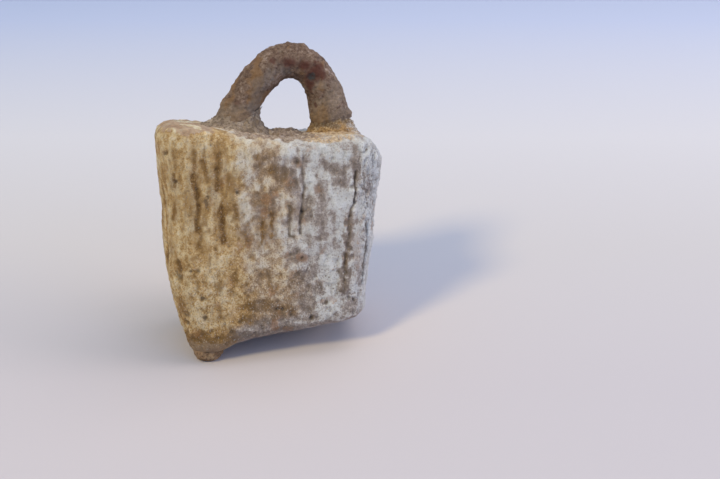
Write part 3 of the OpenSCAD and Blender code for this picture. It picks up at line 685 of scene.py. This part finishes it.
def mound(name, centre, half, height, seed):
    """A low heap on the block's top: its shape, and where it is bare"""
    turn, ring = round_turn(180, 3)
    edge = 1 + UNEVEN * clouds(ring, 1.5, 3, seed)
    hidden = 8
    inwards = np.linspace(1, 0.02, ROWS)
    shares = [*np.linspace(0.08, 0.96, hidden), *inwards]
    heap = height * (1 - inwards ** 2.4) - SUNK * np.linspace(1, 0, ROWS) ** 12
    rises = np.array([*[-SUNK] * hidden, *heap])
    x = centre[0] + half[0] * np.outer(shares, np.cos(turn) * edge)
    y = centre[1] + half[1] * np.outer(shares, np.sin(turn) * edge)
    rings = np.stack([x, y, top_height(x) + rises[:, None]], -1)
    bare = [*[0.0] * hidden, *smooth(0, 0.2, np.linspace(0, 1, ROWS))]
    return woven(name, rings, False), np.append(np.repeat(bare, len(turn)), [0, 1])


def hanging_lump(name, half, reach):
    """The lump under the corner: a blunt drop that hangs from inside the lead"""
    turn, _ = round_turn(150, 1)
    hidden = 6
    slopes = np.radians(np.linspace(2, 89, ROWS))
    depths = np.array([*np.linspace(0.1, 0.5, hidden), *(0.6 + (reach - 0.6) * np.sin(slopes))])
    radii = [*(half * np.linspace(0.2, 0.96, hidden)), *(half * np.cos(slopes) ** 0.8)]
    x = LUMP_PLACE[0] + np.outer(radii, np.cos(turn))
    y = LUMP_PLACE[1] + np.outer(radii, np.sin(turn))
    rings = np.stack([x, y, np.repeat(-depths[:, None], len(turn), 1)], -1)[::-1]
    bare = [*[1.0] * ROWS, *[0.0] * hidden]
    return woven(name, rings, False), np.append(np.repeat(bare, len(turn)), [1, 0])


def pale_side(points, middling):
    """The right crust is whitish to the right and grey-brown where it climbs the iron"""
    x, y, z = points.T
    return {
        "pale": smooth(13.0, 16.0, x + 1.2 * middling) * smooth(5, 0, y),
        "high": smooth(0.4, 1.6, z - top_height(x) + 0.7 * middling),
    }


def dress_deposit(form, seed, lump, grain, extra=None):
    """Makes a woven shape granular where it is bare, and puts it in its place"""
    shape, bare = form
    points = shape[1]
    middling = clouds(points, 1.7, 3, seed)
    grainy = clouds(points, 0.7, 2, seed + 50)
    grains = 0.5 - granules(points + 0.2 * grainy[:, None], 0.65, seed + 80)
    hold = smooth(0.0, 0.8, leaned(points)[:, 2])
    relief = bare * hold * (lump * middling + grain * (0.5 * grainy + 1.6 * grains))
    return settle(shape, relief, 1, 12, {
        "dark": smooth(-0.2, 0.6, clouds(points, 1.5, 3, seed + 20)),
        "bright": smooth(0.0, 0.7, clouds(points, 1.8, 3, seed + 30)),
        **(extra(points, middling) if extra else {}),
    })


# Materials


class Wire:
    """A socket of a node tree, which can be added, taken away and multiplied like a number"""

    def __init__(self, nodes, socket):
        self.nodes = nodes
        self.socket = socket

    def reckon(self, operation, first, second):
        return self.nodes.node("ShaderNodeMath", {"operation": operation}, {0: first, 1: second})

    def __add__(self, other):
        return self.reckon("ADD", self, other)

    def __sub__(self, other):
        return self.reckon("SUBTRACT", self, other)

    def __mul__(self, other):
        return self.reckon("MULTIPLY", self, other)

    def __or__(self, other):
        return self.reckon("MAXIMUM", self, other)

    def __rsub__(self, other):
        return self.reckon("SUBTRACT", other, self)

    __radd__ = __add__
    __rmul__ = __mul__

    def above(self, low, high):
        """0 below low and 1 above high, smoothly"""
        values = {"Value": self, "From Min": low, "From Max": high}
        return self.nodes.node("ShaderNodeMapRange", {"interpolation_type": "SMOOTHSTEP"}, values)


class Nodes:
    """The node tree of a material or of the world"""

    def __init__(self, tree):
        self.tree = tree

    def node(self, kind, settings, values, output=0):
        """Adds a node: its settings first, then the values or wires of its sockets"""
        made = self.tree.nodes.new(kind)
        for name, value in settings.items():
            if name == "stops":
                self.set_stops(made.color_ramp, value)
            else:
                setattr(made, name, value)
        for name, value in values.items():
            self.plug(value, made.inputs[name])
        return Wire(self, made.outputs[output])

    def plug(self, value, socket):
        if isinstance(value, Wire):
            self.tree.links.new(value.socket, socket)
        else:
            socket.default_value = value

    def set_stops(self, ramp, stops):
        for k, (place, colour) in enumerate(stops):
            stop = ramp.elements[k] if k < 2 else ramp.elements.new(place)
            stop.position = place
            stop.color = (*colour, 1)


class Paint(Nodes):
    """A material and the nodes that make its finish"""

    def __init__(self, name):
        self.material = bpy.data.materials.new(name)
        self.material.use_nodes = True
        super().__init__(self.material.node_tree)
        self.shader = self.tree.nodes["Principled BSDF"]
        self.place = self.node("ShaderNodeTexCoord", {}, {}, "Object")

    def ramp(self, value, stops):
        """A colour for each value, from stops of (value, colour)"""
        return self.node("ShaderNodeValToRGB", {"stops": stops}, {"Fac": value})

    def mask(self, name):
        """A mask that was worked out with the shape"""
        return self.node("ShaderNodeAttribute", {"attribute_name": name}, {}, "Fac")

    def noise(self, size, detail, roughness, stretch=(1, 1, 1)):
        """Noise from 0 to 1 with lumps of that size in millimetres"""
        values = {0: self.place, 1: tuple(s / MM for s in stretch)}
        place = self.node("ShaderNodeVectorMath", {"operation": "MULTIPLY"}, values)
        values = {"Vector": place, "Scale": 1 / size, "Detail": detail, "Roughness": roughness}
        return self.node("ShaderNodeTexNoise", {}, values, "Fac")

    def mix(self, share, first, second, way="MIX"):
        """One colour laid over another"""
        first, second = (c if isinstance(c, Wire) else (*c, 1) for c in (first, second))
        settings = {"data_type": "RGBA", "blend_type": way}
        return self.node("ShaderNodeMix", settings, {0: share, 6: first, 7: second}, 2)

    def lay(self, colour, name, mottle, low, high, share, tone):
        """A tone laid over a colour where a mask says, with an edge that the mottle breaks up"""
        return self.mix((self.mask(name) + mottle).above(low, high) * share, colour, tone)

    def shade(self, colour, fine, low, high):
        """Painted shade in hollows and painted light on heights, with fine grain of the surface's
        own tone
        """
        values = {"Value": self.mask("hollow_shade") * 0.6 + fine * 0.4, "To Min": low, "To Max": high}
        tone = self.node("ShaderNodeMapRange", {}, values)
        grey_shade = self.node("ShaderNodeCombineColor", {}, {0: tone, 1: tone, 2: tone})
        return self.mix(1.0, colour, grey_shade, "MULTIPLY")

    def finish(self, colour, roughness, height, specular=0.25):
        """Sets what the surface shows: colour, roughness, and fine relief in millimetres"""
        self.plug(colour, self.shader.inputs["Base Color"])
        self.plug(roughness, self.shader.inputs["Roughness"])
        if height:
            values = {"Height": height, "Strength": 1.0, "Distance": MM}
            self.plug(self.node("ShaderNodeBump", {}, values), self.shader.inputs["Normal"])
        self.shader.inputs["Specular IOR Level"].default_value = specular
        return self.material


# Tones of the crust, from bare brown lead to thick white flakes: grey ones that are partly painted
# cool light, and ochre ones that are partly painted warm light
GREY_CRUST_AND_COOL_LIGHT = [
    (0.18, (0.19, 0.145, 0.118)), (0.42, (0.3, 0.245, 0.216)), (0.54, (0.43, 0.38, 0.35)),
    (0.61, (0.515, 0.483, 0.456)), (0.88, (0.575, 0.558, 0.544)),
]
OCHRE_CRUST_AND_WARM_LIGHT = [
    (0.18, (0.19, 0.103, 0.034)), (0.42, (0.33, 0.193, 0.074)), (0.54, (0.46, 0.294, 0.131)),
    (0.61, (0.54, 0.389, 0.211)), (0.86, (0.632, 0.53, 0.38)),
]
# Tones of the stains, the earth and the rust on the lead, from dark grains to pale ones
STAIN = [
    (0.25, (0.088, 0.042, 0.014)), (0.5, (0.165, 0.081, 0.022)), (0.78, (0.3, 0.165, 0.056)),
]
TOP_EARTH = [
    (0.36, (0.16, 0.106, 0.073)), (0.5, (0.305, 0.215, 0.156)), (0.64, (0.48, 0.38, 0.298)),
]
GOLDEN_RUST = [
    (0.36, (0.18, 0.1, 0.044)), (0.5, (0.43, 0.265, 0.13)), (0.64, (0.64, 0.48, 0.31)),
]
# Single tones on the lead; the pale glint is a painted highlight
RED_CRUST, PINK_CRUST = (0.29, 0.14, 0.065), (0.36, 0.24, 0.175)
LUMP_EARTH, HOLLOW_EARTH = (0.26, 0.175, 0.11), (0.12, 0.078, 0.045)
DARK_SPECK, PALE_GLINT = (0.13, 0.09, 0.06), (0.66, 0.6, 0.53)


def crusted_lead():
    paint = Paint("crusted_lead")
    patchy = paint.noise(1.3, 4, 0.65)
    fine = paint.noise(0.55, 4, 0.7)
    finest = paint.noise(0.24, 3, 0.65)
    mottle = 0.7 * patchy + 1.2 * fine + 1.3 * finest - 1.6
    crumbly = paint.mask("crumbly")
    cover = paint.mask("cover") + mottle * (0.31 + 0.42 * crumbly)
    # Ochre is partly the crust's own tint and partly painted warm light from the left; the grey
    # tones are partly painted cool light from the right
    ochre_and_warm_light = (paint.mask("ochre_and_warm_light") + 0.7 * paint.noise(1.9, 3, 0.6) - 0.35).above(0.15, 0.85)
    colour = paint.mix(ochre_and_warm_light, paint.ramp(cover, GREY_CRUST_AND_COOL_LIGHT), paint.ramp(cover, OCHRE_CRUST_AND_WARM_LIGHT))
    layers = [
        ("red", mottle, 0.1, 0.9, 0.55, RED_CRUST),
        ("stain", 0.85 * mottle, 0.0, 0.78, 0.95, paint.ramp(0.5 + mottle, STAIN)),
        ("pink", mottle, 0.2, 0.8, 0.7, PINK_CRUST),
        ("soil", mottle, 0.3, 0.7, 0.9, paint.ramp(fine, TOP_EARTH)),
        ("rust", mottle, 0.25, 0.8, 0.9, paint.ramp(fine, GOLDEN_RUST)),
        ("lump", mottle, 0.2, 0.8, 0.85, LUMP_EARTH),
        ("earth", 0.7 * mottle, 0.15, 0.95, 0.8, HOLLOW_EARTH),
    ]
    for layer in layers:
        colour = paint.lay(colour, *layer)
    specks = paint.noise(0.3, 2, 0.5, (1.2, 1.2, 0.8)).above(0.55, 0.66) * (0.22 + 0.3 * crumbly)
    colour = paint.mix(specks, colour, DARK_SPECK)
    # Painted glints: pale specks that stand for sparkle highlights, more on crumbly crust
    glints = paint.noise(0.4, 2, 0.5, (1.5, 1.5, 1)).above(0.6, 0.7) * (0.1 + 0.35 * crumbly)
    colour = paint.mix(glints, colour, PALE_GLINT)
    # Painted shade in the hollows and painted light on the heights
    colour = paint.shade(colour, fine, 0.64, 1.34)
    height = (0.17 + 0.13 * crumbly) * fine + (0.12 + 0.06 * crumbly) * finest
    return paint.finish(colour, 0.95 - 0.1 * fine, height)


# Tones of the rusted iron, from dark grains to pale ones
RUSTED = [
    (0.15, (0.06, 0.033, 0.022)), (0.38, (0.116, 0.069, 0.048)), (0.55, (0.172, 0.111, 0.079)),
    (0.72, (0.262, 0.184, 0.142)), (0.92, (0.41, 0.335, 0.29)),
]
# Single tones on the iron
ORANGE_IRON, EARTHY_IRON = (0.215, 0.115, 0.05), (0.255, 0.192, 0.14)
STAINED_IRON, GREY_SHADE_TONE = (0.24, 0.135, 0.058), (0.175, 0.14, 0.115)
RED_RUST, DARK_METAL = (0.072, 0.022, 0.015), (0.05, 0.049, 0.047)


def rusted_iron():
    paint = Paint("rusted_iron")
    fine = paint.noise(0.55, 4, 0.65)
    finest = paint.noise(0.26, 3, 0.6)
    mottle = 0.4 * paint.noise(1.3, 3, 0.6) + 0.75 * fine + 0.65 * finest - 0.9
    colour = paint.ramp(0.11 + 1.15 * mottle + 0.8 * paint.noise(2.4, 3, 0.6), RUSTED)
    colour = paint.lay(colour, "orange", mottle, 0.2, 0.9, 0.65, ORANGE_IRON)
    colour = paint.lay(colour, "soil", mottle, 0.2, 0.9, 0.4, EARTHY_IRON)
    colour = paint.lay(colour, "stain", mottle, 0.2, 0.9, 0.55, STAINED_IRON)
    # Painted grey shade down the inner side of the left leg
    colour = paint.lay(colour, "grey_shade", 1.5 * mottle, 0.2, 1.1, 0.5, GREY_SHADE_TONE)
    red = (1.15 * paint.mask("red") + 1.2 * mottle).above(0.05, 0.95) * 0.92
    colour = paint.mix(red, colour, RED_RUST)
    metal = paint.mask("metal")
    colour = paint.mix(metal * fine.above(0.35, 0.55) * 0.9, colour, DARK_METAL)
    # Painted shade in the hollows and painted light on the heights
    colour = paint.shade(colour, fine, 0.6, 1.4)
    return paint.finish(colour, 0.92 - metal * 0.15, 0.18 * fine + 0.1 * finest)


def granular(name, base, dark, bright, more=()):
    """A crumbly deposit of three tones, and other tones where its masks say"""
    paint = Paint(name)
    fine = paint.noise(0.5, 4, 0.65)
    finest = paint.noise(0.24, 3, 0.6)
    mottle = 0.35 * paint.noise(1.2, 3, 0.6) + 0.8 * fine + 0.75 * finest - 0.95
    colour = paint.lay(base, "dark", 1.3 * mottle, 0.2, 0.9, 0.65, dark)
    colour = paint.lay(colour, "bright", 1.3 * mottle, 0.3, 0.9, 0.75, bright)
    for mask, tones in more:
        toned = paint.ramp(0.5 + 1.2 * mottle, tones)
        colour = paint.lay(colour, mask, mottle, 0.2, 0.9, 0.9, toned)
    colour = paint.mix(paint.noise(0.36, 2, 0.5).above(0.52, 0.62) * 0.75, colour, dark)
    # Painted glints: pale specks of the bright tone that stand for sparkle highlights
    colour = paint.mix(paint.noise(0.38, 2, 0.5).above(0.6, 0.7) * 0.45, colour, bright)
    # Painted shade in the hollows and painted light on the heights
    colour = paint.shade(colour, fine, 0.6, 1.4)
    return paint.finish(colour, 0.97 - fine * 0.08, 0.18 * fine + 0.1 * finest)


# Tones of the right crust where it climbs the iron, and to the right
CLIMBING_RUST = [
    (0.25, (0.11, 0.074, 0.046)), (0.5, (0.19, 0.13, 0.082)), (0.8, (0.3, 0.215, 0.145)),
]
PALE_RUST = [
    (0.22, (0.23, 0.17, 0.13)), (0.45, (0.42, 0.35, 0.298)), (0.7, (0.545, 0.5, 0.465)),
]


# The stage

CAMERA_PLACE = (-0.0214, -0.1522, 0.08)
CAMERA_HEADING = math.radians(14)
CAMERA_PITCH = math.radians(22.43)
# The level direction that the camera looks in, and how far back along it the camera stands
CAMERA_WAY = (math.sin(CAMERA_HEADING), math.cos(CAMERA_HEADING), 0)
CAMERA_AWAY = 0.153

# The floor's half width, and its tones at distances from the camera's place, in metres: paler in
# the middle distance as a painted pool of light, and bluish far off as painted cool light
FLOOR_HALF = 0.67
CLOTH_AND_PAINTED_LIGHT = [
    (0.13, (0.57, 0.508, 0.525)), (0.19, (0.61, 0.551, 0.547)), (0.28, (0.69, 0.635, 0.64)),
    (0.52, (0.62, 0.62, 0.74)),
]

# The lamps, which all point at one spot: name, place, size, power and colour
LAMPS_POINT_AT = (0, 0, 0.02)
LAMPS = [
    ("window", (-0.62, -0.43, 0.7), 0.22, 6.5, (1.0, 0.83, 0.42)),
    ("ceiling", (0.35, 0.1, 0.85), 0.8, 3.4, (1.0, 0.84, 0.64)),
    ("sky", (0.82, -0.26, 0.32), 0.5, 3.4, (1.0, 0.9, 0.8)),
    ("day", (0.38, -0.62, 0.32), 0.4, 0.7, (0.4, 0.55, 1.0)),
]

# The light from all round and its strength, and the backdrop that is seen instead of it
SURROUND, SURROUND_STRENGTH = (0.3, 0.58, 1.0), 0.71
BACKDROP = (0.62, 0.65, 0.8)


def set_camera():
    data = bpy.data.cameras.new("camera")
    data.lens = 45
    data.sensor_width = 36
    data.clip_start = 0.01
    data.clip_end = 10
    camera = put("camera", data)
    camera.location = CAMERA_PLACE
    camera.rotation_euler = (math.pi / 2 - CAMERA_PITCH, 0, -CAMERA_HEADING)
    bpy.context.scene.camera = camera


def pale_floor():
    """A plain pale finish, whose tone changes slowly with the distance from the camera's place,
    with a painted pool of light in the middle distance and painted cool light far off
    """
    paint = Paint("pale_floor")
    values = {0: paint.place, 1: CAMERA_WAY}
    along = paint.node("ShaderNodeVectorMath", {"operation": "DOT_PRODUCT"}, values, "Value")
    return paint.finish(paint.ramp(along + CAMERA_AWAY, CLOTH_AND_PAINTED_LIGHT), 0.9, None, 0.1)


def set_floor():
    mesh = bpy.data.meshes.new("floor")
    corners = [(x * FLOOR_HALF, y * FLOOR_HALF, 0) for x, y in ((-1, -1), (1, -1), (1, 1), (-1, 1))]
    mesh.from_pydata(corners, [], [(0, 1, 2, 3)])
    mesh.materials.append(pale_floor())
    put("floor", mesh)


def set_lamps():
    for name, place, size, power, colour in LAMPS:
        data = bpy.data.lights.new(name, "AREA")
        data.shape = "DISK"
        data.size = size
        data.energy = power
        data.color = colour
        lamp = put(name, data)
        lamp.location = place
        way = Vector(LAMPS_POINT_AT) - Vector(place)
        lamp.rotation_euler = way.to_track_quat("-Z", "Y").to_euler()


def set_world():
    world = bpy.data.worlds.new("studio")
    world.use_nodes = True
    studio = Nodes(world.node_tree)
    light = studio.tree.nodes["Background"]
    light.inputs["Color"].default_value = (*SURROUND, 1)
    light.inputs["Strength"].default_value = SURROUND_STRENGTH
    backdrop = studio.node("ShaderNodeBackground", {}, {"Color": (*BACKDROP, 1), "Strength": 1.0})
    camera, glossy, through = (
        studio.node("ShaderNodeLightPath", {}, {}, ray)
        for ray in ("Is Camera Ray", "Is Glossy Ray", "Is Transmission Ray")
    )
    values = {0: camera | glossy | through, 1: Wire(studio, light.outputs[0]), 2: backdrop}
    shown = studio.node("ShaderNodeMixShader", {}, values)
    studio.plug(shown, studio.tree.nodes["World Output"].inputs["Surface"])
    bpy.context.scene.world = world


set_camera()
set_floor()
set_lamps()
set_world()
bpy.context.scene.view_settings.view_transform = "Standard"

# Each piece: the CAD node that it stands for, its slot, its shape and its finish
PIECES = [
    ("lead_body", "crusted_lead", dress_lead(), crusted_lead()),
    ("iron_loop", "rusted_iron", dress_loop(), rusted_iron()),
    ("left_foot_crust", "iron_crust", dress_deposit(collar(
        "left_foot_crust_dressed", foot_x=-6.55, lean_in=0.62, leg_r=3.05,
        heights=(5.0, 3.0, 3.4, 3.2), widths=(5.6, 2.2, 2.4, 3.0), seed=211,
    ), seed=201, lump=0.24, grain=0.26), granular(
        "iron_crust", (0.265, 0.196, 0.142), (0.118, 0.08, 0.055), (0.4, 0.315, 0.245),
    )),
    ("right_foot_crust", "orange_rust", dress_deposit(collar(
        "right_foot_crust_dressed", foot_x=12.15, lean_in=-0.15, leg_r=3.65,
        heights=(3.6, 2.4, 2.6, 2.6), widths=(2.9, 2.0, 2.2, 2.6), seed=311,
    ), seed=301, lump=0.26, grain=0.26, extra=pale_side), granular(
        "orange_rust", (0.33, 0.196, 0.086), (0.125, 0.066, 0.028), (0.58, 0.4, 0.22),
        [("high", CLIMBING_RUST), ("pale", PALE_RUST)],
    )),
    ("saddle_crust", "packed_earth", dress_deposit(mound(
        "saddle_crust_dressed", centre=(2.7, -0.2), half=(4.2, 5.2), height=1.0, seed=411,
    ), seed=401, lump=0.34, grain=0.26), granular(
        "packed_earth", (0.262, 0.19, 0.145), (0.112, 0.073, 0.052), (0.385, 0.305, 0.25),
    )),
    ("corner_lump", "rusty_earth", dress_deposit(hanging_lump(
        "corner_lump_dressed", half=2.7, reach=3.2,
    ), seed=501, lump=0.16, grain=0.1), granular(
        "rusty_earth", (0.265, 0.165, 0.095), (0.1, 0.055, 0.03), (0.35, 0.235, 0.135),
    )),
]
for node, slot, piece, material in PIECES:
    piece.data.materials.append(material)
    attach(piece, "root")
    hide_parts(node)
